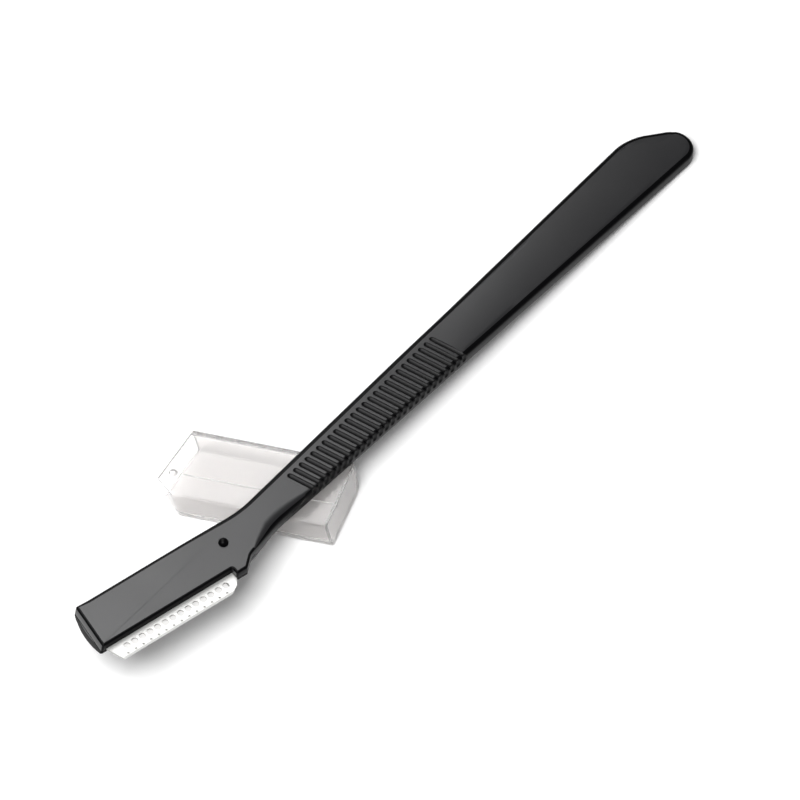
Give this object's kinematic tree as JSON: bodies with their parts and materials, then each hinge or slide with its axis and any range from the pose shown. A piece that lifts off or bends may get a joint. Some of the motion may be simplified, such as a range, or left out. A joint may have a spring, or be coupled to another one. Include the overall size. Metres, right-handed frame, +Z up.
{
  "type": "eyebrow razor",
  "caption": "Slim hand razor for brows with a guarded straight blade on an angled head, a ribbed grip and a clear slide-on cap, taken off.",
  "frame": {"origin": "middle of the footprint of the razor and its cap as they lie, on the table", "axes": "+X along the handle towards its tail, +Y towards the spine side, where the cap's mouth points, +Z up, towards the front face with the nub"},
  "size_m": [0.1553, 0.0318, 0.0128],
  "materials": {
    "black_plastic": "moulded ABS, fine satin",
    "blade_steel": "ground and honed",
    "guard_foil": "thin bright foil",
    "clear_plastic": "clear polystyrene, polished"
  },
  "bodies": {
    "razor": {"handle": "black_plastic", "head_cover": "black_plastic", "blade": "blade_steel", "guard": "guard_foil"},
    "cap": {"cap": "clear_plastic"}
  },
  "joints": [
    {"name": "cap_slide", "type": "slide", "parent": "razor", "child": "cap", "axis": [-0.4446, 0.8957, 0], "range_m": [0, 0.06]}
  ]
}
